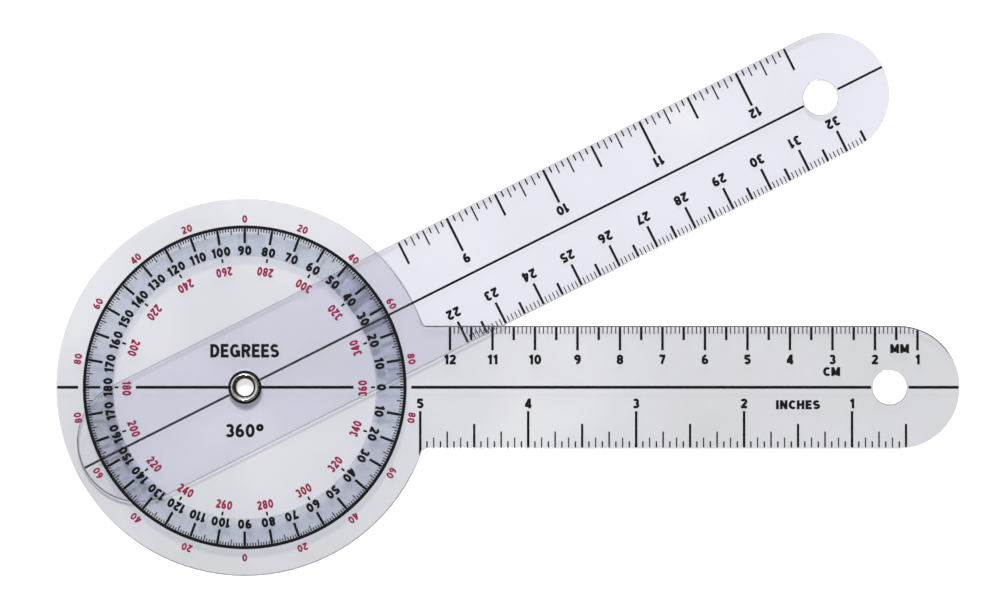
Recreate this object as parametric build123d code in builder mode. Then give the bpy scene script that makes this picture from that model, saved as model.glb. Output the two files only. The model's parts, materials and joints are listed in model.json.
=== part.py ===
from build123d import *
import math
import os

# Angle finder: a round head with a fixed arm, and a moving arm that turns under it on a hollow eyelet.
#
# Millimetres, +Z up along the pivot. The origin is on the pivot's axis, where the friction washer rests on the
# moving arm. +X runs from the pivot to the tip of the fixed arm. The moving arm lies open by arm_angle.

# ---- sheets -------------------------------------------------------------------------------------------------
head_radius = 44.45
arm_width = 29.0
arm_reach = 168.3  # pivot to the tip of either arm
tail_reach = 42.6  # pivot to the tail end of the moving arm, inside the head
arm_angle = 26.7  # degrees, counter-clockwise from the fixed arm
sheet_thickness = 1.2
edge_bevel = 0.35  # on the upper edges of the outlines and of the hang holes
neck_round = 1.2  # where the fixed arm meets the head
hang_hole_radius = 4.0
hang_hole_inset = 16.5  # tip of an arm to the centre of its hole

# ---- pivot --------------------------------------------------------------------------------------------------
bore_radius = 2.0
eyelet_wall = 0.4
flange_overhang = 0.95  # how far the flange stands out from the barrel
flange_height = 0.6
clinch_overhang = 0.9
clinch_height = 0.6
rim_flats = 3  # flats that round the flange and the clinched rim
friction_washer_width = 1.5
friction_washer_thickness = 0.3
back_washer_width = 1.25
back_washer_thickness = 0.4
seat_clearance = 0.03  # radial, round the barrel in the pieces that stay still
turning_clearance = 0.06  # radial, round the barrel in the moving arm
arm_play = 0.03  # axial, above and below the moving arm

# ---- degree print -------------------------------------------------------------------------------------------
ring_inset = 6.35  # rim of the head to the outside of the ring line
ring_line = 0.75
line_gap = 0.02  # ring line to the ticks inside it
band_width = 6.45  # from the ring line inwards
degree_tick = (0.7, 0.27)  # length, width
five_degree_tick = (1.4, 0.27)
ten_degree_tick = (3.4, 0.62)
reflex_tick = (0.95, 0.45)
reflex_gap = 0.25  # band to the reflex ticks
reflex_step = 20  # degrees
tint_thickness = 0.03
ink_thickness = 0.04

# ---- rules and hairlines ------------------------------------------------------------------------------------
centimetre = 10.0
inch = 25.4
cm_tick = (5.8, 0.6)  # length from the edge of the arm, width
half_cm_tick = (3.4, 0.6)
mm_tick = (1.9, 0.24)
inch_tick = (8.9, 0.6)
half_inch_tick = (5.9, 0.55)
quarter_inch_tick = (4.1, 0.37)
eighth_inch_tick = (2.7, 0.3)
sixteenth_inch_tick = (1.8, 0.35)
first_reading = 10.0  # nearest tick to the tip of an arm
fixed_hairline_width = 0.7
moving_hairline_width = 0.55
hairline_clearance = 0.05  # bare strip round the pivot's pieces and the bevels of the hang holes
numbers_inset = 5.3  # hairline stops this far inside the band, clear of the inner numbers
numbers_outset = 1.1  # and starts again this far outside the ring line

# ---- worked out ---------------------------------------------------------------------------------------------
arm_half = arm_width / 2
tip_centre = arm_reach - arm_half
hang_hole_reach = arm_reach - hang_hole_inset
barrel_radius = bore_radius + eyelet_wall
flange_radius = barrel_radius + flange_overhang
clinch_radius = barrel_radius + clinch_overhang
friction_washer_radius = barrel_radius + seat_clearance + friction_washer_width
back_washer_radius = barrel_radius + seat_clearance + back_washer_width

head_bottom = friction_washer_thickness
head_top = head_bottom + sheet_thickness
band_top = head_top + tint_thickness
arm_top = -arm_play
arm_bottom = arm_top - sheet_thickness
back_washer_top = arm_bottom - arm_play
back_washer_bottom = back_washer_top - back_washer_thickness

ring_radius = head_radius - ring_inset
ring_inner = ring_radius - ring_line
tick_outer = ring_inner - line_gap
band_inner = ring_inner - band_width
reflex_outer = band_inner - reflex_gap
edge_margin = edge_bevel  # the print of the rules runs out to the bevel

cm_marks = 10  # marks in a centimetre
inch_marks = 16
cm_ticks = {cm_marks: cm_tick, cm_marks // 2: half_cm_tick, 1: mm_tick}  # a tick for each step in marks
inch_ticks = {
    inch_marks: inch_tick,
    inch_marks // 2: half_inch_tick,
    inch_marks // 4: quarter_inch_tick,
    inch_marks // 8: eighth_inch_tick,
    1: sixteenth_inch_tick,
}

arm_plane = Plane.XY.rotated((0, 0, arm_angle))
head_face = Plane.XY.offset(head_top)
arm_face = arm_plane.offset(arm_top)


# ---- helpers ------------------------------------------------------------------------------------------------
def rule_ticks(marks, spacing, sizes, place, side):
    """Draw a row of ticks from their inner ends out past an arm's left edge (side 1) or its right edge (side -1).

    Each mark gets the tick of the largest step that divides it, such as 5 for the mark 15.
    """
    remaining = list(marks)
    for step, (length, width) in sizes.items():
        inner = arm_half - length
        drawn = head_radius - inner
        here = [mark for mark in remaining if mark % step == 0]
        remaining = [mark for mark in remaining if mark % step != 0]
        with Locations(*[(place(mark * spacing), side * (inner + drawn / 2)) for mark in here]):
            Rectangle(width, drawn)


def line_from_to(start, end, width):
    """Draw one straight stretch of a hairline along the X axis of the sketch."""
    with Locations(((start + end) / 2, 0)):
        Rectangle(end - start, width)


def radial_ticks(outer, size, count, first=0):
    """Draw ticks that point at the centre, evenly spaced round a circle from a first angle in degrees."""
    length, width = size
    with PolarLocations(outer - length / 2, count, start_angle=first):
        Rectangle(length, width)


def rolled_rim(outer_radius, face, height):
    """Points over a rolled rim of the eyelet, from its outer foot on a face to the mouth of the bore."""
    middle = (outer_radius + bore_radius) / 2
    half_width = (outer_radius - bore_radius) / 2
    turns = [flat * math.pi / rim_flats for flat in range(rim_flats + 1)]
    return [(middle + half_width * math.cos(turn), face + height * math.sin(turn)) for turn in turns]


def finish(piece, label):
    """Name a finished piece and write its file."""
    piece.part.label = label
    export_step(piece.part, f"parts/{label}.step")


os.makedirs("parts", exist_ok=True)

# ---- fixed arm with its head: one cut sheet -----------------------------------------------------------------
with BuildPart() as fixed_arm:
    with BuildSketch(Plane.XY.offset(head_bottom)) as head_outline:
        Circle(head_radius)
        with Locations((tip_centre / 2, 0)):
            SlotCenterToCenter(tip_centre, arm_width)
        fillet(head_outline.vertices().group_by(Axis.X)[0], neck_round)
        with Locations((hang_hole_reach, 0)):
            Circle(hang_hole_radius, mode=Mode.SUBTRACT)
    extrude(amount=sheet_thickness)
    chamfer(fixed_arm.faces().sort_by(Axis.Z)[-1].edges(), edge_bevel)
    with BuildSketch(Plane.XY.offset(head_bottom)):
        Circle(barrel_radius + seat_clearance)
    extrude(amount=sheet_thickness, mode=Mode.SUBTRACT)
finish(fixed_arm, "fixed_arm")

# ---- moving arm: a strip with two round ends, under the head ------------------------------------------------
with BuildPart() as moving_arm:
    with BuildSketch(arm_plane.offset(arm_bottom)):
        with Locations(((arm_reach - tail_reach) / 2, 0)):
            SlotOverall(arm_reach + tail_reach, arm_width)
        with Locations((hang_hole_reach, 0)):
            Circle(hang_hole_radius, mode=Mode.SUBTRACT)
    extrude(amount=sheet_thickness)
    chamfer(moving_arm.faces().sort_by(Axis.Z)[-1].edges(), edge_bevel)
    with BuildSketch(arm_plane.offset(arm_bottom)):
        Circle(barrel_radius + turning_clearance)
    extrude(amount=sheet_thickness, mode=Mode.SUBTRACT)
finish(moving_arm, "moving_arm")

# ---- eyelet: domed flange on the head, barrel, and the rim rolled over the back washer ----------------------
with BuildPart() as eyelet:
    with BuildSketch(Plane.XZ):
        with BuildLine():
            Polyline(
                *rolled_rim(flange_radius, head_top, flange_height),
                *reversed(rolled_rim(clinch_radius, back_washer_bottom, -clinch_height)),
                (barrel_radius, back_washer_bottom),
                (barrel_radius, head_top),
                close=True,
            )
        make_face()
    revolve(axis=Axis.Z)
finish(eyelet, "eyelet")

# ---- washers ------------------------------------------------------------------------------------------------
with BuildPart() as friction_washer:
    with BuildSketch():
        Circle(friction_washer_radius)
        Circle(barrel_radius + seat_clearance, mode=Mode.SUBTRACT)
    extrude(amount=friction_washer_thickness)
finish(friction_washer, "friction_washer")

with BuildPart() as back_washer:
    with BuildSketch(Plane.XY.offset(back_washer_bottom)):
        Circle(back_washer_radius)
        Circle(barrel_radius + seat_clearance, mode=Mode.SUBTRACT)
    extrude(amount=back_washer_thickness)
finish(back_washer, "back_washer")

# ---- degree print on the head -------------------------------------------------------------------------------
with BuildPart() as degree_band:
    with BuildSketch(head_face):
        Circle(ring_radius)
        Circle(band_inner, mode=Mode.SUBTRACT)
    extrude(amount=tint_thickness)
finish(degree_band, "degree_band")

with BuildPart() as degree_ring:
    with BuildSketch(Plane.XY.offset(band_top)):
        Circle(ring_radius)
        Circle(ring_inner, mode=Mode.SUBTRACT)
    extrude(amount=ink_thickness)
finish(degree_ring, "degree_ring")

with BuildPart() as degree_ticks:
    with BuildSketch(Plane.XY.offset(band_top)):
        radial_ticks(tick_outer, ten_degree_tick, 36)
        radial_ticks(tick_outer, five_degree_tick, 36, first=5)
        for between in (1, 2, 3, 4):
            radial_ticks(tick_outer, degree_tick, 72, first=between)
    extrude(amount=ink_thickness)
finish(degree_ticks, "degree_ticks")

with BuildPart() as reflex_ticks:
    with BuildSketch(head_face):
        radial_ticks(reflex_outer, reflex_tick, 360 // reflex_step)
    extrude(amount=ink_thickness)
finish(reflex_ticks, "reflex_ticks")

# ---- hairlines ----------------------------------------------------------------------------------------------
hole_margin = hang_hole_radius + edge_margin + hairline_clearance
before_hole = hang_hole_reach - hole_margin
past_hole = hang_hole_reach + hole_margin
line_end = arm_reach - edge_margin

with BuildPart() as fixed_hairline:
    with BuildSketch(head_face):
        past_flange = flange_radius + hairline_clearance
        before_numbers = band_inner - numbers_inset
        past_numbers = ring_radius + numbers_outset
        line_from_to(edge_margin - head_radius, -past_numbers, fixed_hairline_width)
        line_from_to(-before_numbers, -past_flange, fixed_hairline_width)
        line_from_to(past_flange, before_numbers, fixed_hairline_width)
        line_from_to(past_numbers, before_hole, fixed_hairline_width)
        line_from_to(past_hole, line_end, fixed_hairline_width)
    extrude(amount=ink_thickness)
finish(fixed_hairline, "fixed_hairline")

with BuildPart() as moving_hairline:
    with BuildSketch(arm_face):
        past_washer = friction_washer_radius + hairline_clearance
        line_from_to(edge_margin - tail_reach, -past_washer, moving_hairline_width)
        line_from_to(past_washer, before_hole, moving_hairline_width)
        line_from_to(past_hole, line_end, moving_hairline_width)
    extrude(amount=ink_thickness)
finish(moving_hairline, "moving_hairline")


# ---- rules: the fixed arm reads from its tip inwards, and the moving arm carries on outwards ----------------
def from_fixed_tip(reading):
    """Distance from the pivot of a reading on the fixed arm."""
    return arm_reach - reading


def past_pivot(reading):
    """Distance from the pivot of a reading on the moving arm, which counts on from the fixed arm's tip."""
    return reading - arm_reach


half_cm = centimetre / 2
half_cm_marks = cm_marks // 2
half_inch = inch / 2
half_inch_marks = inch_marks // 2
first_half_inch = math.ceil(first_reading / half_inch)
whole_rule = 2 * arm_reach

fixed_cm_marks = range(
    math.ceil(first_reading / centimetre) * cm_marks,
    math.floor((arm_reach - head_radius) / centimetre) * cm_marks + 1,
)
fixed_inch_marks = range(
    first_half_inch * half_inch_marks,
    math.floor((arm_reach - ring_radius) / inch) * inch_marks + 1,
)
moving_cm_marks = range(
    math.ceil((arm_reach + head_radius) / centimetre) * cm_marks,
    math.floor((whole_rule - first_reading) / half_cm) * half_cm_marks + 1,
)
moving_inch_marks = range(
    math.ceil((arm_reach + head_radius) / half_inch) * half_inch_marks,
    (math.floor(whole_rule / half_inch) - first_half_inch) * half_inch_marks + 1,
)

# The print ends at the bevel of the cut edges, so each row of ticks is trimmed to one of these two areas.
with BuildSketch() as fixed_print_area:
    Circle(head_radius - edge_margin)
    with Locations((tip_centre / 2, 0)):
        SlotCenterToCenter(tip_centre, arm_width - 2 * edge_margin)

with BuildSketch() as moving_print_area:
    with Locations((tip_centre / 2, 0)):
        SlotCenterToCenter(tip_centre, arm_width - 2 * edge_margin)

with BuildPart() as fixed_cm_scale:
    with BuildSketch(head_face):
        rule_ticks(fixed_cm_marks, centimetre / cm_marks, cm_ticks, from_fixed_tip, 1)
        add(fixed_print_area.sketch, mode=Mode.INTERSECT)
    extrude(amount=ink_thickness)
finish(fixed_cm_scale, "fixed_cm_scale")

with BuildPart() as fixed_inch_scale:
    with BuildSketch(head_face):
        rule_ticks(fixed_inch_marks, inch / inch_marks, inch_ticks, from_fixed_tip, -1)
        add(fixed_print_area.sketch, mode=Mode.INTERSECT)
    extrude(amount=ink_thickness)
finish(fixed_inch_scale, "fixed_inch_scale")

with BuildPart() as moving_cm_scale:
    with BuildSketch(arm_face):
        rule_ticks(moving_cm_marks, centimetre / cm_marks, cm_ticks, past_pivot, -1)
        add(moving_print_area.sketch, mode=Mode.INTERSECT)
    extrude(amount=ink_thickness)
finish(moving_cm_scale, "moving_cm_scale")

with BuildPart() as moving_inch_scale:
    with BuildSketch(arm_face):
        rule_ticks(moving_inch_marks, inch / inch_marks, inch_ticks, past_pivot, 1)
        add(moving_print_area.sketch, mode=Mode.INTERSECT)
    extrude(amount=ink_thickness)
finish(moving_inch_scale, "moving_inch_scale")
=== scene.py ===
import functools
import json
import math

import bmesh
import bpy
from mathutils import Matrix, Vector
from mathutils.geometry import delaunay_2d_cdt


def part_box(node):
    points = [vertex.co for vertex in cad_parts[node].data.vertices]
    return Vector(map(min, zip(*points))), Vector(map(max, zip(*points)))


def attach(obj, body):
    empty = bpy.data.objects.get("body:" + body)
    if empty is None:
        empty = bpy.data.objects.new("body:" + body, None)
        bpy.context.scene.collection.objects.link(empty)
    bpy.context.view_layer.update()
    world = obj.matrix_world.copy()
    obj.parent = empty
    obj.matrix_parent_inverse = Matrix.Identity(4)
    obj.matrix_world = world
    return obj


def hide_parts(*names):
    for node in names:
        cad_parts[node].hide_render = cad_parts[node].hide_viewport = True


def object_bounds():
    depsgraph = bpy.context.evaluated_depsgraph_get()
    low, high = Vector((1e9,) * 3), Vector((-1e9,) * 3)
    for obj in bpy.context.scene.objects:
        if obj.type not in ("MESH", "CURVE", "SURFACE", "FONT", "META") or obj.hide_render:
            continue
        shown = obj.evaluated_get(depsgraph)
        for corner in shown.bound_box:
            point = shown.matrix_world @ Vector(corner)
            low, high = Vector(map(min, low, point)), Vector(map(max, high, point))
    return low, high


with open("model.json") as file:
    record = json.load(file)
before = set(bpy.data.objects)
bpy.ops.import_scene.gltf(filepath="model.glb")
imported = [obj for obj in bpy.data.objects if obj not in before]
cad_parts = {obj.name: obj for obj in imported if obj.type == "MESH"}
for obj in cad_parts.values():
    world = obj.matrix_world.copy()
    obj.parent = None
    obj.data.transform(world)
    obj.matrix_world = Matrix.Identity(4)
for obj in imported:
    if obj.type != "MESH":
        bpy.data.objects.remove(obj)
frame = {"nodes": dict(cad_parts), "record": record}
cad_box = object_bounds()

# Metres, in the frame of the CAD model. Lengths that read better in millimetres are written with MM.
MM = 0.001
INCH = 25.4 * MM
CM = 10 * MM

# ---- places, worked out from the frame -----------------------------------------------------------
nodes = frame["nodes"]
mounts = {mount["name"]: mount for mount in frame["record"]["mounts"]}
head_low, head_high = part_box("fixed_arm")
arm_reach = head_high.x
head_face = head_high.z
band_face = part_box("degree_band")[1].z
print_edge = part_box("fixed_cm_scale")[1].y  # how far the print of an arm reaches from its middle
arm_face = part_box("moving_hairline")[0].z  # the moving arm's upper face
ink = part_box("fixed_hairline")[1].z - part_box("fixed_hairline")[0].z  # how thick the print is
moving_hole = Vector(mounts["moving_hang_hole"]["pos_m"])
fixed_hole = Vector(mounts["fixed_hang_hole"]["pos_m"])
arm_angle = math.atan2(moving_hole.y, moving_hole.x)
eyelet_low, eyelet_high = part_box("eyelet")
flange_radius = eyelet_high.x
bore_radius = mounts["pivot_bore"]["dims"]["r_mm"] * MM
washer_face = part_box("back_washer")[0].z  # its lower face
THROAT_DEPTH = 1.6 * MM  # from the eyelet's top to where its bore is straight


def towards(azimuth, elevation):
    """A direction from its degrees round from +X and above the floor."""
    around = math.radians(azimuth)
    height = math.radians(elevation)
    level = math.cos(height)
    return Vector((level * math.cos(around), level * math.sin(around), math.sin(height)))


# ---- nodes of a material -------------------------------------------------------------------------
def new_material(name):
    """An empty node material with its output."""
    material = bpy.data.materials.new(name)
    material.use_nodes = True
    tree = material.node_tree
    tree.nodes.clear()
    output = tree.nodes.new("ShaderNodeOutputMaterial")
    return material, tree, output


def coordinate(tree, kind):
    """Where a point is (Object), or how its face lies (Normal), in the object's own space."""
    return tree.nodes.new("ShaderNodeTexCoord").outputs[kind]


def noise(tree, scale, detail=3.0, stretch=(1.0, 1.0, 1.0)):
    """A noise in the object's own space, in features per metre."""
    mapping = tree.nodes.new("ShaderNodeMapping")
    mapping.inputs["Scale"].default_value = stretch
    texture = tree.nodes.new("ShaderNodeTexNoise")
    texture.inputs["Scale"].default_value = scale
    texture.inputs["Detail"].default_value = detail
    tree.links.new(coordinate(tree, "Object"), mapping.inputs["Vector"])
    tree.links.new(mapping.outputs["Vector"], texture.inputs["Vector"])
    return texture.outputs["Fac"]


def ramp(tree, value, stops):
    """Colours along a value, from (position, colour) stops."""
    node = tree.nodes.new("ShaderNodeValToRGB")
    elements = node.color_ramp.elements
    while len(elements) < len(stops):
        elements.new(1.0)
    for element, (position, colour) in zip(elements, stops):
        element.position = position
        element.color = (*colour, 1.0)
    tree.links.new(value, node.inputs["Fac"])
    return node.outputs["Color"]


def map_range(tree, value, start, end, low=0.0, high=1.0):
    """A value mapped from start and end to low and high, and held at those beyond them."""
    node = tree.nodes.new("ShaderNodeMapRange")
    node.inputs["From Min"].default_value = start
    node.inputs["From Max"].default_value = end
    node.inputs["To Min"].default_value = low
    node.inputs["To Max"].default_value = high
    tree.links.new(value, node.inputs["Value"])
    return node.outputs["Result"]


def span(tree, value, low, high):
    """A noise, which keeps mostly between 0.3 and 0.7, mapped to the range low to high."""
    return map_range(tree, value, 0.3, 0.7, low, high)


def bump(tree, height, depth, strength):
    """A bump of a real depth."""
    node = tree.nodes.new("ShaderNodeBump")
    node.inputs["Strength"].default_value = strength
    node.inputs["Distance"].default_value = depth
    tree.links.new(height, node.inputs["Height"])
    return node.outputs["Normal"]


def combine(tree, operation, *values):
    """A math node on linked values and plain numbers."""
    node = tree.nodes.new("ShaderNodeMath")
    node.operation = operation
    for socket, value in zip(node.inputs, values):
        if isinstance(value, (int, float)):
            socket.default_value = value
        else:
            tree.links.new(value, socket)
    return node.outputs["Value"]


def most(tree, *values):
    """The greatest of some linked values."""
    return functools.reduce(lambda value, other: combine(tree, "MAXIMUM", value, other), values)


def part_of(tree, vector, axis):
    """A linked vector's part along an axis."""
    node = tree.nodes.new("ShaderNodeSeparateXYZ")
    tree.links.new(vector, node.inputs["Vector"])
    return node.outputs[axis]


def measure(tree, operation, vector, fixed):
    """A number worked out by a vector math node from a linked vector and a fixed one."""
    node = tree.nodes.new("ShaderNodeVectorMath")
    node.operation = operation
    node.inputs[1].default_value = fixed
    tree.links.new(vector, node.inputs[0])
    return node.outputs["Value"]


def along(tree, axis, start, end):
    """0 to 1 between two places on an axis of the object's own space."""
    return map_range(tree, part_of(tree, coordinate(tree, "Object"), axis), start, end)


def side(tree, azimuth, start, end):
    """0 to 1 between two distances from the pivot in a direction, in degrees round from +X."""
    distance = measure(tree, "DOT_PRODUCT", coordinate(tree, "Object"), towards(azimuth, 0))
    return map_range(tree, distance, start, end)


def near(tree, place):
    """1 close round a hang hole at a place, and 0 away from it."""
    distance = measure(tree, "DISTANCE", coordinate(tree, "Object"), place)
    return map_range(tree, distance, 7 * MM, 6 * MM)


def cut_edge(tree):
    """1 on the walls and bevels of a sheet, and 0 on its flat faces."""
    flatness = combine(tree, "ABSOLUTE", part_of(tree, coordinate(tree, "Normal"), "Z"))
    return map_range(tree, flatness, 0.95, 0.8)


def mix_colours(tree, factor, colour, other):
    """colour where factor is 0, and other where it is 1."""
    node = tree.nodes.new("ShaderNodeMix")
    node.data_type = "RGBA"
    tree.links.new(factor, node.inputs["Factor"])
    tree.links.new(colour, node.inputs["A"])
    tree.links.new(other, node.inputs["B"])
    return node.outputs["Result"]


def multiply_colours(tree, colour, other):
    """The product of two linked colours."""
    node = tree.nodes.new("ShaderNodeMix")
    node.data_type = "RGBA"
    node.blend_type = "MULTIPLY"
    node.inputs["Factor"].default_value = 1.0
    tree.links.new(colour, node.inputs["A"])
    tree.links.new(other, node.inputs["B"])
    return node.outputs["Result"]


def shade(colour, share):
    """The colour with its brightness times share."""
    return tuple(channel * share for channel in colour)


def transparent(tree, tint, colour=None):
    """Lets light pass unbent, with a flat tint, or with a linked colour in its place."""
    node = tree.nodes.new("ShaderNodeBsdfTransparent")
    node.inputs["Color"].default_value = (*tint, 1.0)
    if colour is not None:
        tree.links.new(colour, node.inputs["Color"])
    return node.outputs["BSDF"]


def mix_by_path(tree, path, shader, other):
    """shader, with other in its place for one kind of ray."""
    light_path = tree.nodes.new("ShaderNodeLightPath")
    mix = tree.nodes.new("ShaderNodeMixShader")
    tree.links.new(light_path.outputs[path], mix.inputs[0])
    tree.links.new(shader, mix.inputs[1])
    tree.links.new(other, mix.inputs[2])
    return mix.outputs["Shader"]


def lit_through(tree, output, shader, lamp_side):
    """Set the surface to a shader, with lamp_side in its place for the lamps and bounced light."""
    inner = mix_by_path(tree, "Is Diffuse Ray", shader, lamp_side)
    outer = mix_by_path(tree, "Is Shadow Ray", inner, lamp_side)
    tree.links.new(outer, output.inputs["Surface"])


# ---- materials -----------------------------------------------------------------------------------
EDGE_SHADE_TINTS = [  # painted shade of the cut edges, from none to the darkest
    (0.0, (0.80, 0.80, 0.82)),
    (0.5, (0.38, 0.38, 0.41)),
    (1.0, (0.04, 0.04, 0.045)),
]
FIXED_TINTS = [  # of the flat faces, by the painted light gradient and the clouds
    (0.2, (0.63, 0.635, 0.66)),
    (0.45, (0.73, 0.735, 0.765)),
    (0.72, (0.775, 0.775, 0.835)),
    (0.9, (0.84, 0.845, 0.885)),
]
MOVING_TINTS = [  # the same for the moving sheet
    (0.35, (0.855, 0.855, 0.93)),
    (0.5, (0.865, 0.865, 0.955)),
    (0.65, (0.885, 0.885, 0.96)),
    (0.9, (1.0, 1.0, 1.0)),
]
SHEET_IOR = 1.49
LAMP_TINT = (1.0, 1.0, 1.0)  # of the lamp's light that passes through a sheet
INK_LAMP_TINT = (0.95, 0.95, 0.95)  # thin print casts only a faint shadow through the sheet


def fixed_wear(tree):
    """Painted shade on the cut edges, for the dark lines that refraction and shadow give them: most
    along the head's lower right and the top of the arm.
    """
    on_arm = along(tree, "X", 38 * MM, 43 * MM)
    off_arm = combine(tree, "SUBTRACT", 0.75, on_arm)
    of_head = combine(tree, "MULTIPLY", side(tree, -45, -13 * MM, 13 * MM), off_arm)
    of_arm = combine(tree, "MULTIPLY", side(tree, 90, 5 * MM, 9 * MM), on_arm)
    low_half = combine(tree, "MULTIPLY", side(tree, -90, -5 * MM, 3 * MM), 0.5)
    of_hole = combine(tree, "MULTIPLY", near(tree, fixed_hole), low_half)
    below_arm = combine(tree, "MULTIPLY", on_arm, 0.15)
    return most(tree, of_head, of_arm, of_hole, below_arm)


def moving_wear(tree):
    """Painted shade on the cut edges, for the dark lines of refraction and shadow: a little along the
    arm, more on its lower side, and most on the tail.
    """
    low_tail = side(tree, -110, 16 * MM, 25 * MM)
    of_tail = combine(tree, "MULTIPLY", low_tail, along(tree, "X", -20 * MM, -30 * MM))
    lower_side = side(tree, math.degrees(arm_angle) - 90, -5 * MM, 5 * MM)
    of_sides = combine(tree, "MULTIPLY_ADD", lower_side, 0.2, 0.28)
    of_arm = combine(tree, "MULTIPLY", along(tree, "X", 142 * MM, 130 * MM), of_sides)
    return combine(tree, "MAXIMUM", of_tail, of_arm)


def fixed_tone(tree):
    """Painted light and shade: the tint lightens from the head's low side to its top, and darkens
    towards the arm's tip, as the light falls unevenly.
    """
    across = along(tree, "Y", head_low.y, head_high.y)
    tipward = along(tree, "X", 90 * MM, 165 * MM)
    return combine(tree, "MULTIPLY_ADD", tipward, -0.24, combine(tree, "MULTIPLY", across, 0.4))


def moving_tone(tree):
    """The tint lightens at the end of the tail."""
    return combine(tree, "MULTIPLY", along(tree, "X", -29 * MM, -33 * MM), 0.4)


def clear_sheet(name, tints, gradient, darkening, edge_shadow):
    """Clear calendered sheet: smooth and faintly lavender, with slow waves, light smears and cut edges.

    Its third argument gives how the tint changes over the place, its fourth the painted shade of the cut
    edges, and edge_shadow is the share of the lamp's light that passes where that painted shade is
    darkest.
    """
    material, tree, output = new_material(name)
    principled = tree.nodes.new("ShaderNodeBsdfPrincipled")
    principled.inputs["Transmission Weight"].default_value = 1.0
    principled.inputs["IOR"].default_value = SHEET_IOR
    # the gradient over the place, painted light and shade on the fixed sheet, plus random clouds
    gradient_and_clouds = combine(tree, "ADD", gradient(tree), noise(tree, 22.0, detail=2.0))
    # painted shade on the cut edges, for the dark lines that refraction and shadow give them
    painted_edge_shade = darkening(tree)
    tint = mix_colours(tree, cut_edge(tree), ramp(tree, gradient_and_clouds, tints), ramp(tree, painted_edge_shade, EDGE_SHADE_TINTS))
    tree.links.new(tint, principled.inputs["Base Color"])
    smears = noise(tree, 160.0, detail=4.0, stretch=(1.0, 3.0, 1.0))
    tree.links.new(span(tree, smears, 0.015, 0.05), principled.inputs["Roughness"])
    waves = noise(tree, 55.0, detail=1.0)
    tree.links.new(bump(tree, waves, 0.02 * MM, 0.25), principled.inputs["Normal"])
    # where the painted edge shade lies on walls and bevels, less lamp light passes, which casts a
    # rendered shadow line
    shaded_walls = combine(tree, "MULTIPLY", cut_edge(tree), painted_edge_shade)
    passed = ramp(tree, shaded_walls, [(0.0, LAMP_TINT), (1.0, shade(LAMP_TINT, edge_shadow))])
    lit_through(tree, output, principled.outputs["BSDF"], transparent(tree, LAMP_TINT, passed))
    return material


def translucent_ink(name, tint, body, cover):
    """Thin tinted ink that the sheet shows through, slightly uneven where it was laid down."""
    material, tree, output = new_material(name)
    solid = tree.nodes.new("ShaderNodeBsdfPrincipled")
    grain = noise(tree, 1600.0, detail=4.0)
    shades = ramp(tree, grain, [(0.3, shade(body, 0.93)), (0.7, body)])
    tree.links.new(shades, solid.inputs["Base Color"])
    tree.links.new(span(tree, grain, 0.3, 0.5), solid.inputs["Roughness"])
    see_through = transparent(tree, tint)
    mix = tree.nodes.new("ShaderNodeMixShader")
    mix.inputs[0].default_value = cover
    tree.links.new(see_through, mix.inputs[1])
    tree.links.new(solid.outputs["BSDF"], mix.inputs[2])
    tree.links.new(mix.outputs["Shader"], output.inputs["Surface"])
    return material


def printed_ink(name, colour, spread):
    """Opaque screen-printed ink with a fine grain in its colour, gloss and height."""
    material, tree, output = new_material(name)
    principled = tree.nodes.new("ShaderNodeBsdfPrincipled")
    grain = noise(tree, 3500.0, detail=3.0)
    stops = [(0.3, shade(colour, 1.0 - spread)), (0.7, shade(colour, 1.0 + spread))]
    tree.links.new(ramp(tree, grain, stops), principled.inputs["Base Color"])
    tree.links.new(span(tree, grain, 0.42, 0.62), principled.inputs["Roughness"])
    tree.links.new(bump(tree, grain, 0.006 * MM, 0.4), principled.inputs["Normal"])
    principled.inputs["Specular IOR Level"].default_value = 0.12
    lit_through(tree, output, principled.outputs["BSDF"], transparent(tree, INK_LAMP_TINT))
    return material


def nickel(name, plate, tarnish_and_shade, darkened_low, darkened_high):
    """Nickel plate, darkened at and below darkened_low by tarnish and painted shade, and bright from
    darkened_high up.
    """
    material, tree, output = new_material(name)
    principled = tree.nodes.new("ShaderNodeBsdfPrincipled")
    principled.inputs["Metallic"].default_value = 1.0
    height = along(tree, "Z", darkened_low, darkened_high)
    # tarnish and painted shade: dark in the eyelet's throat and below it, bright at the crest
    base = ramp(tree, height, [(0.0, tarnish_and_shade), (0.6, tarnish_and_shade), (1.0, plate)])
    speckle = noise(tree, 1800.0, detail=4.0)
    # speckled wear of the plate
    darkening = ramp(tree, speckle, [(0.3, (0.86, 0.85, 0.82)), (0.7, (1.0, 1.0, 1.0))])
    tree.links.new(multiply_colours(tree, base, darkening), principled.inputs["Base Color"])
    tree.links.new(span(tree, speckle, 0.14, 0.3), principled.inputs["Roughness"])
    tree.links.new(bump(tree, speckle, 0.01 * MM, 0.2), principled.inputs["Normal"])
    tree.links.new(principled.outputs["BSDF"], output.inputs["Surface"])
    return material


def moulded(name, colour):
    """Dull black plastic with a fine moulded grain."""
    material, tree, output = new_material(name)
    principled = tree.nodes.new("ShaderNodeBsdfPrincipled")
    grain = noise(tree, 2500.0, detail=5.0)
    shades = ramp(tree, grain, [(0.3, shade(colour, 0.7)), (0.7, shade(colour, 1.3))])
    tree.links.new(shades, principled.inputs["Base Color"])
    tree.links.new(span(tree, grain, 0.5, 0.7), principled.inputs["Roughness"])
    tree.links.new(bump(tree, grain, 0.02 * MM, 0.5), principled.inputs["Normal"])
    principled.inputs["Specular IOR Level"].default_value = 0.2
    tree.links.new(principled.outputs["BSDF"], output.inputs["Surface"])
    return material


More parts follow.
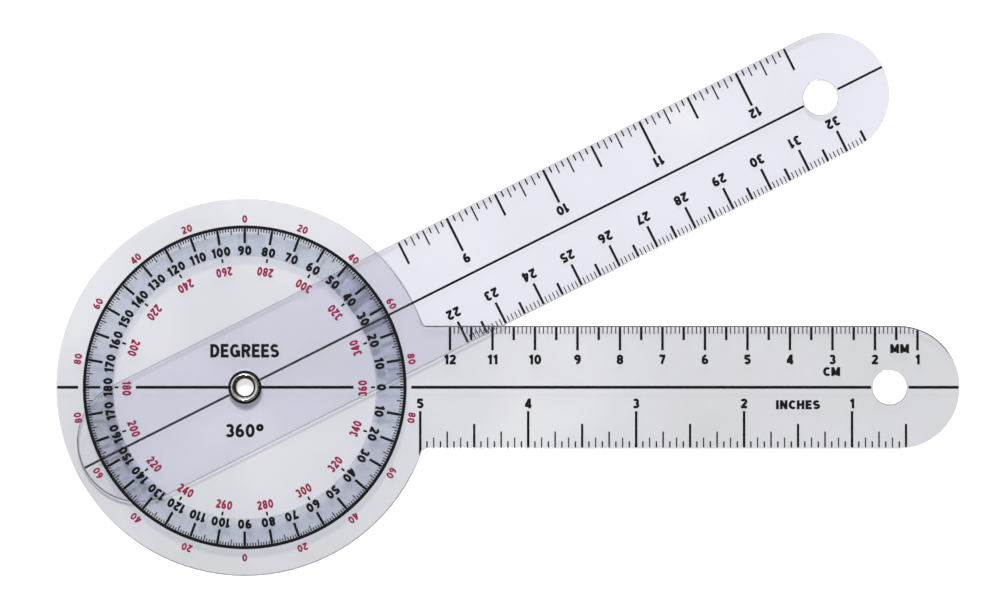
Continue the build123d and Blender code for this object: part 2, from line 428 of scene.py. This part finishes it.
fixed_sheet = clear_sheet("fixed_sheet", FIXED_TINTS, fixed_tone, fixed_wear, 0.85)
moving_sheet = clear_sheet("moving_sheet", MOVING_TINTS, moving_tone, moving_wear, 0.15)
blue_tint = translucent_ink("blue_tint", tint=(0.912, 0.927, 0.958), body=(0.30, 0.33, 0.42), cover=0.04)
black_print = printed_ink("black_print", (0.004, 0.004, 0.005), 0.35)
red_print = printed_ink("red_print", (0.32, 0.02, 0.075), 0.2)
inks = {"black_ink": black_print, "red_ink": red_print}  # by their slots
plated = nickel(
    "plated",
    plate=(0.72, 0.715, 0.69),
    tarnish_and_shade=(0.10, 0.096, 0.088),
    darkened_low=eyelet_high.z - THROAT_DEPTH,
    darkened_high=eyelet_high.z,
)
plated_back = nickel(
    "plated_back",
    plate=(0.78, 0.77, 0.73),
    tarnish_and_shade=(0.30, 0.29, 0.26),
    darkened_low=washer_face - 2 * MM,
    darkened_high=washer_face,
)
black_plastic = moulded("black_plastic", (0.005, 0.005, 0.005))

node_materials = {
    "fixed_arm": fixed_sheet,
    "moving_arm": moving_sheet,
    "friction_washer": black_plastic,
    "back_washer": plated_back,
    "degree_band": blue_tint,
    "degree_ring": black_print,
    "degree_ticks": black_print,
    "reflex_ticks": black_print,
    "fixed_hairline": black_print,
    "fixed_cm_scale": black_print,
    "fixed_inch_scale": black_print,
    "moving_hairline": black_print,
    "moving_cm_scale": black_print,
    "moving_inch_scale": black_print,
}
for label, material in node_materials.items():
    nodes[label].data.materials.clear()
    nodes[label].data.materials.append(material)


def new_piece(name, whole):
    """An object in the scene with the faces of a bmesh, which is freed."""
    data = bpy.data.meshes.new(name)
    whole.to_mesh(data)
    whole.free()
    piece = bpy.data.objects.new(name, data)
    bpy.context.scene.collection.objects.link(piece)
    return piece


# ---- lettering -----------------------------------------------------------------------------------
GAP = 0.1  # between the letters of a word, in letter heights


def arc(x, y, half_width, half_height, start, end):
    """Points along an ellipse round (x, y), from one angle to another in degrees."""
    count = round(abs(end - start) / 15)
    turns = [math.radians(start + (end - start) * k / count) for k in range(count + 1)]
    return [(x + half_width * math.cos(turn), y + half_height * math.sin(turn)) for turn in turns]


def middle_lines(character, half):
    """The middle lines of a character's strokes, which are twice half wide.

    The characters are a bold sans one unit high that stands on y = 0.
    """
    top = 1 - half
    low = half
    tall = 0.5 - half  # half the height of a round character
    bowl = tall / 2  # half the height of the upper or lower round of one
    upper = 0.5 + bowl
    lower = 0.5 - bowl
    left_stem = [(-0.23, 0), (-0.23, 1)]
    right_stem = [(0.23, 0), (0.23, 1)]
    return {
        "0": [arc(0, 0.5, 0.225, tall, 0, 360)],
        "1": [[(0.08, 0), (0.08, 1)], [(-0.17, 0.7), (0.08, 0.87)]],
        "2": [
            arc(0, 0.68, 0.21, top - 0.68, 165, -30),
            [(0.19, 0.6), (-0.2, 0.15)],
            [(-0.31, low), (0.31, low)],
        ],
        "3": [arc(-0.02, upper, 0.19, bowl, 155, -90), arc(-0.02, lower, 0.22, bowl, 90, -155)],
        "4": [
            [(0.12, 0), (0.12, 1)],
            [(0.08, 1.05 - half), (-0.24, 0.33)],
            [(-0.34, 0.27), (0.32, 0.27)],
        ],
        "5": [
            [(-0.2, top), (0.27, top)],
            [(-0.16, 0.95), (-0.2, 0.5)],
            arc(-0.02, 0.34, 0.23, 0.34 - low, 125, -150),
        ],
        "6": [arc(0, 0.32, 0.21, 0.32 - low, 0, 360), arc(0.06, 0.42, 0.27, top - 0.42, 180, 75)],
        "7": [[(-0.3, top), (0.31, top)], [(0.2, top), (-0.07, 0.04)]],
        "8": [arc(0, upper, 0.19, bowl, 0, 360), arc(0, lower, 0.21, bowl, 0, 360)],
        "9": [arc(0, 0.68, 0.21, top - 0.68, 0, 360), arc(-0.06, 0.58, 0.27, 0.58 - low, 0, -105)],
        "C": [arc(0, 0.5, 0.26, tall, 45, 315)],
        "D": [
            left_stem,
            arc(-0.06, 0.5, 0.28, tall, 90, -90),
            [(-0.24, top), (-0.05, top)],
            [(-0.24, low), (-0.05, low)],
        ],
        "E": [
            left_stem,
            [(-0.24, top), (0.22, top)],
            [(-0.24, 0.51), (0.17, 0.51)],
            [(-0.24, low), (0.24, low)],
        ],
        "G": [
            arc(0, 0.5, 0.27, tall, 45, 330),
            [(0.26, 0.52), (0.26, 0.05)],
            [(0.03, 0.45), (0.27, 0.45)],
        ],
        "H": [left_stem, right_stem, [(-0.24, 0.52), (0.24, 0.52)]],
        "I": [[(0, 0), (0, 1)]],
        "M": [
            [(-0.29, 0), (-0.29, 1)],
            [(0.29, 0), (0.29, 1)],
            [(-0.29, 0.95), (0.02, 0.12)],
            [(0.29, 0.95), (-0.02, 0.12)],
        ],
        "N": [left_stem, right_stem, [(-0.22, 0.94), (0.22, 0.06)]],
        "R": [
            left_stem,
            arc(0, upper, 0.21, bowl, 90, -90),
            [(-0.24, top), (0.01, top)],
            [(-0.24, 0.5), (0.01, 0.5)],
            [(0.02, 0.5), (0.22, 0.05)],
        ],
        "S": [arc(0, upper, 0.2, bowl, 25, 270), arc(0, lower, 0.22, bowl, 90, -155)],
        "\u00b0": [arc(0, 0.94 - 2 * half, 0.06 + half, 0.06 + half, 0, 360)],
    }[character]


def lay_stroke(line, half, points, quads):
    """Add a stroke along its middle line, square at its ends, as a row of quads."""
    closed = math.dist(line[0], line[-1]) < 1e-6
    line = [Vector(place) for place in (line[:-1] if closed else line)]
    start = len(points)
    for k, place in enumerate(line):
        before = line[k - 1] if closed or k > 0 else place
        after = line[(k + 1) % len(line)] if closed or k + 1 < len(line) else place
        across = (after - before).normalized().orthogonal() * half
        points.extend((place - across, place + across))
    for k in range(len(line) if closed else len(line) - 1):
        here = start + 2 * k
        following = start + 2 * ((k + 1) % len(line))
        quads.append((here, following, following + 1, here + 1))


@functools.cache
def glyph(character, half):
    """A character's strokes joined into one flat shape: its points, triangles, outline and two sides."""
    points = []
    quads = []
    for line in middle_lines(character, half):
        lay_stroke(line, half, points, quads)
    flat, _, triangles, _, _, origins = delaunay_2d_cdt(points, [], quads, 0, 1e-5, True)
    filled = [triangle for triangle, origin in zip(triangles, origins) if origin]
    edges = {edge for a, b, c in filled for edge in ((a, b), (b, c), (c, a))}
    outline = [(a, b) for a, b in edges if (b, a) not in edges]
    places = [point.x for point in flat]
    return flat, filled, sorted(outline), min(places), max(places)


def letters(name, words, height, stroke, body, slot_name, face, squeeze=1.0):
    """One piece from (text, x, y, turn) words, printed on a face of the CAD model.

    stroke is the width of the strokes in letter heights, and squeeze scales the letters along the word.
    """
    whole = bmesh.new()
    for text, x, y, turn in words:
        shapes = [glyph(character, stroke / 2) for character in text]
        length = sum(right - left for *_, left, right in shapes) + GAP * (len(shapes) - 1)
        turned = Matrix.Rotation(turn, 3, "Z")
        start = -length / 2
        for flat, filled, outline, left, right in shapes:
            levels = []
            for level in (face, face + ink):
                middle = Vector((x, y, level))
                corners = [Vector(((start + p.x - left) * squeeze, p.y - 0.5, 0)) * height for p in flat]
                levels.append([whole.verts.new(turned @ corner + middle) for corner in corners])
            under, over = levels
            for a, b, c in filled:
                whole.faces.new((over[a], over[b], over[c]))
                whole.faces.new((under[c], under[b], under[a]))
            for a, b in outline:
                whole.faces.new((under[a], under[b], over[b], over[a]))
            start += right - left + GAP
    bmesh.ops.recalc_face_normals(whole, faces=whole.faces)
    piece = new_piece(name, whole)
    piece.data.materials.append(inks[slot_name])
    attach(piece, body)


def round_words(values, radius, inward, shift=0.0):
    """Words round the pivot from (value, angle in degrees), with their tops outward, or inward."""
    words = []
    for value, degrees in values:
        angle = math.radians(degrees)
        turn = angle + (math.pi / 2 if inward else -math.pi / 2)
        words.append((str(value), radius * math.cos(angle), radius * math.sin(angle) + shift, turn))
    return words


def arm_words(values, offset, angle, upside_down):
    """Words beside an arm's middle line from (value, distance from the pivot)."""
    turned = Matrix.Rotation(angle, 3, "Z")
    words = []
    for value, distance in values:
        place = turned @ Vector((distance, offset, 0))
        words.append((str(value), place.x, place.y, angle + (math.pi if upside_down else 0)))
    return words


# (reading, angle) round the head
every_ten = [(abs(angle), angle) for angle in range(-170, 181, 10)]
every_twenty = [(360 - abs(angle), angle) for angle in range(-160, 181, 20)]
outside = [(abs(90 - abs(angle)), angle) for angle in range(-170, 181, 20)] + [(0, 90), (0, -90)]

RED_SHIFT = -0.25 * MM  # the red print was laid a little low

degree_words = round_words(every_ten, 32.2 * MM, False)
reflex_words = round_words(every_twenty, 27.75 * MM, True, RED_SHIFT)
rim_words = round_words(outside, 39.85 * MM, False, RED_SHIFT)
letters("degree_numbers", degree_words, 2.25 * MM, 0.28, "fixed", "black_ink", band_face, squeeze=0.94)
letters("reflex_numbers", reflex_words, 2.15 * MM, 0.26, "fixed", "red_ink", head_face, squeeze=0.78)
letters("rim_numbers", rim_words, 1.8 * MM, 0.25, "fixed", "red_ink", head_face, squeeze=0.95)

# (reading, distance from the pivot) along the arms
fixed_cm = [(reading, arm_reach - reading * CM) for reading in range(1, 13)]
fixed_inches = [(reading, arm_reach - reading * INCH) for reading in range(1, 6)]
moving_cm = [(reading, reading * CM - arm_reach) for reading in range(22, 33)]
moving_inches = [(reading, reading * INCH - arm_reach) for reading in range(9, 13)]
cm_offset = print_edge - 7.6 * MM  # of a number's middle from the arm's middle line
inch_offset = print_edge - 10.35 * MM
fixed_cm_words = arm_words(fixed_cm, cm_offset, 0, False)
fixed_inch_words = arm_words(fixed_inches, -inch_offset, 0, False)
moving_cm_words = arm_words(moving_cm, -cm_offset, arm_angle, True)
moving_inch_words = arm_words(moving_inches, inch_offset, arm_angle, True)
RULE_HEIGHT = 2.35 * MM
RULE_STROKE = 0.265
for label, words, body, face in (
    ("fixed_cm_numbers", fixed_cm_words, "fixed", head_face),
    ("fixed_inch_numbers", fixed_inch_words, "fixed", head_face),
    ("moving_cm_numbers", moving_cm_words, "moving", arm_face),
    ("moving_inch_numbers", moving_inch_words, "moving", arm_face),
):
    letters(label, words, RULE_HEIGHT, RULE_STROKE, body, "black_ink", face)

unit_words = [
    ("MM", 154.1 * MM, 9.1 * MM, 0),
    ("CM", 138.1 * MM, 3.7 * MM, 0),
    ("INCHES", 130.2 * MM, -4.1 * MM, 0),
]
letters("unit_words", unit_words, 2.15 * MM, 0.27, "fixed", "black_ink", head_face, squeeze=1.15)

head_words = [("DEGREES", 0.0, 8.6 * MM, 0), ("360\u00b0", 0.0, -10.2 * MM, 0)]
letters("head_words", head_words, 3.2 * MM, 0.22, "fixed", "black_ink", head_face)


# ---- eyelet --------------------------------------------------------------------------------------
def smooth_line(points, steps):
    """Points along a smooth curve through the given (radius, height) points."""
    ends = [points[0], *points, points[-1]]
    line = []
    for a, b, c, d in zip(ends, ends[1:], ends[2:], ends[3:]):
        for step in range(steps):
            t = step / steps
            line.append(tuple(
                0.5 * (2 * b[k] + (c[k] - a[k]) * t + (2 * a[k] - 5 * b[k] + 4 * c[k] - d[k]) * t**2
                       + (3 * b[k] - a[k] - 3 * c[k] + d[k]) * t**3)
                for k in (0, 1)
            ))
    line.append(points[-1])
    return line


def lathe(name, profile, turns):
    """A closed (radius, height) profile turned round the pivot's axis, in so many steps."""
    whole = bmesh.new()
    rings = []
    for turn in range(turns):
        angle = 2 * math.pi * turn / turns
        places = [(radius * math.cos(angle), radius * math.sin(angle), z) for radius, z in profile]
        rings.append([whole.verts.new(place) for place in places])
    for ring, following in zip(rings, rings[1:] + rings[:1]):
        for k in range(len(profile)):
            after = (k + 1) % len(profile)
            face = whole.faces.new((ring[k], following[k], following[after], ring[after]))
            face.smooth = True
    bmesh.ops.recalc_face_normals(whole, faces=whole.faces)
    return new_piece(name, whole)


def eyelet_profile():
    """The eyelet's section: domed flange, throat, bore, and the rim rolled out over the back washer."""
    crest = eyelet_high.z
    lowest = eyelet_low.z + 0.01 * MM  # the smooth line dips a little below its points
    flange = [
        (flange_radius, head_face),
        (flange_radius - 0.02 * MM, head_face + 0.2 * MM),
        (flange_radius - 0.1 * MM, crest - 0.2 * MM),
        (flange_radius - 0.21 * MM, crest - 0.06 * MM),
        (flange_radius - 0.36 * MM, crest),
        (flange_radius - 0.52 * MM, crest - 0.05 * MM),
        (bore_radius + 0.56 * MM, crest - 0.24 * MM),
        (bore_radius + 0.34 * MM, crest - 0.46 * MM),
        (bore_radius + 0.12 * MM, crest - 0.8 * MM),
        (bore_radius + 0.03 * MM, crest - 1.2 * MM),
        (bore_radius, crest - THROAT_DEPTH),
    ]
    clinch = [
        (bore_radius, lowest + 1.2 * MM),
        (bore_radius + 0.08 * MM, lowest + 0.75 * MM),
        (bore_radius + 0.3 * MM, lowest + 0.25 * MM),
        (bore_radius + 0.65 * MM, lowest),
        (bore_radius + 1.0 * MM, lowest + 0.1 * MM),
        (bore_radius + 1.24 * MM, lowest + 0.35 * MM),
        (bore_radius + 1.3 * MM, washer_face),
    ]
    barrel = bore_radius + 0.4 * MM
    through = [(barrel, washer_face), (barrel, head_face)]
    return smooth_line(flange, 4) + smooth_line(clinch, 4) + through


eyelet = lathe("eyelet_turned", eyelet_profile(), 96)
eyelet.data.materials.append(plated)
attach(eyelet, "fixed")
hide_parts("eyelet")

# ---- floor, light and camera ---------------------------------------------------------------------
PHOTO_WIDTH = 1000 / 4.25 * MM  # what the photograph takes in: 1000 pixels, at 4.25 to a millimetre
VIEW_CENTRE = Vector((60.07 * MM, 18.66 * MM, head_face))
CAMERA_HEIGHT = 1.2
SENSOR = 36.0  # Blender's usual width, in millimetres
FLOOR_GLOW = {"Is Glossy Ray": 0.4, "Is Transmission Ray": 0.1, "Is Camera Ray": 0.65}  # by kind of ray


def glow(tree, strength):
    """White light given off by a surface."""
    node = tree.nodes.new("ShaderNodeEmission")
    node.inputs["Strength"].default_value = strength
    return node.outputs["Emission"]


def make_floor():
    """A pale floor that shows as white and keeps the object's shadow."""
    whole = bmesh.new()
    bmesh.ops.create_circle(whole, cap_ends=True, segments=64, radius=4.0)
    floor = new_piece("floor", whole)
    floor.location = (0, 0, cad_box[0].z)
    material, tree, output = new_material("floor_paper")
    diffuse = tree.nodes.new("ShaderNodeBsdfDiffuse")
    grain = noise(tree, 40.0)
    paper = ramp(tree, grain, [(0.3, (0.88, 0.88, 0.88)), (0.7, (0.89, 0.89, 0.89))])
    tree.links.new(paper, diffuse.inputs["Color"])
    seen = glow(tree, 0.0)
    for path, strength in FLOOR_GLOW.items():
        seen = mix_by_path(tree, path, seen, glow(tree, strength))
    add = tree.nodes.new("ShaderNodeAddShader")
    tree.links.new(diffuse.outputs["BSDF"], add.inputs[0])
    tree.links.new(seen, add.inputs[1])
    tree.links.new(add.outputs["Shader"], output.inputs["Surface"])
    floor.data.materials.append(material)


def backdrop_light(tree, strength, colour=None):
    """Light from all round, of one colour or of a linked one."""
    node = tree.nodes.new("ShaderNodeBackground")
    node.inputs["Color"].default_value = (1.0, 1.0, 1.0, 1.0)
    node.inputs["Strength"].default_value = strength
    if colour is not None:
        tree.links.new(colour, node.inputs["Color"])
    return node.outputs["Background"]


def grey_ramp(tree, value, stops):
    """Greys along a value, from (position, brightness) stops."""
    return ramp(tree, value, [(position, (grey, grey, grey)) for position, grey in stops])


def make_world():
    """Soft light, white behind the object, and for gloss a bright side, a dim side and a dim top."""
    world = bpy.data.worlds.new("studio")
    bpy.context.scene.world = world
    world.use_nodes = True
    tree = world.node_tree
    tree.nodes.clear()
    output = tree.nodes.new("ShaderNodeOutputWorld")
    direction = tree.nodes.new("ShaderNodeTexCoord").outputs["Generated"]
    overhead = grey_ramp(tree, part_of(tree, direction, "Z"), [(0.93, 1.0), (0.985, 0.12)])
    brightwards = measure(tree, "DOT_PRODUCT", direction, towards(125, 30))
    sides = grey_ramp(tree, brightwards, [(0.0, 0.03), (0.35, 0.5), (0.7, 1.0)])
    gloss = backdrop_light(tree, 1.0, multiply_colours(tree, sides, overhead))
    seen = mix_by_path(tree, "Is Glossy Ray", backdrop_light(tree, 0.35), gloss)
    for path in ("Is Transmission Ray", "Is Camera Ray"):
        seen = mix_by_path(tree, path, seen, backdrop_light(tree, 1.0))
    tree.links.new(seen, output.inputs["Surface"])


def make_lamp(name, direction, distance, size, power):
    """A square soft box that faces the object from a direction."""
    lamp = bpy.data.lights.new(name, "AREA")
    lamp.size = size
    lamp.energy = power
    holder = bpy.data.objects.new(name, lamp)
    holder.location = VIEW_CENTRE + direction * distance
    holder.rotation_mode = "QUATERNION"
    holder.rotation_quaternion = direction.to_track_quat("Z", "Y")
    bpy.context.scene.collection.objects.link(holder)


def make_camera():
    """Looks straight down, with the photograph's framing."""
    camera = bpy.data.cameras.new("camera")
    camera.sensor_width = SENSOR
    camera.lens = SENSOR * CAMERA_HEIGHT / PHOTO_WIDTH
    camera.clip_start = 0.01
    camera.clip_end = 20.0
    holder = bpy.data.objects.new("camera", camera)
    holder.location = VIEW_CENTRE + Vector((0, 0, CAMERA_HEIGHT))
    bpy.context.scene.collection.objects.link(holder)
    bpy.context.scene.camera = holder


make_floor()
make_world()
make_lamp("key", towards(98, 62), distance=1.6, size=0.3, power=18.2)
make_camera()
bpy.context.scene.view_settings.view_transform = "Standard"
